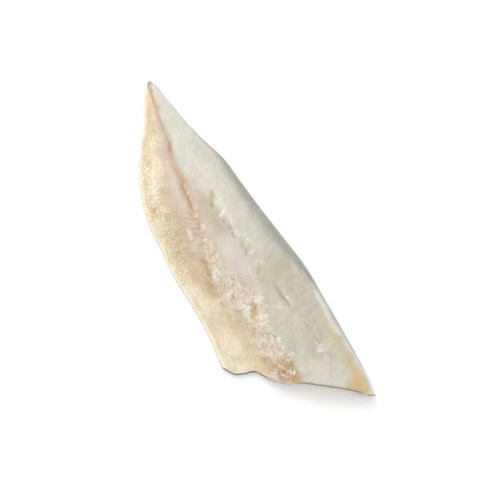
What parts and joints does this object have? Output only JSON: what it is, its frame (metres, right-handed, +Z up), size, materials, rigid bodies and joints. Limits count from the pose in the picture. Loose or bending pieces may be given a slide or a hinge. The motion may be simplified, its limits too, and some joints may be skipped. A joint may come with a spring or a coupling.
{
  "type": "fish fillet",
  "caption": "Raw white-fish fillet lying on its skin with the flesh side up, pointed at the tail and cut aslant at the head end.",
  "frame": {"origin": "middle of the fillet's box, on the surface that it lies on", "axes": "+X along the fillet from the tail tip to the head end, +Y to the back edge, +Z up out of the flesh side"},
  "size_m": [0.3, 0.0894, 0.0187],
  "materials": {
    "flesh": "wet raw fish flesh, slightly see-through",
    "skin": "wet fish skin, dark back fading to a speckled silver belly"
  },
  "bodies": {
    "root": {"fillet": "flesh"}
  },
  "joints": []
}
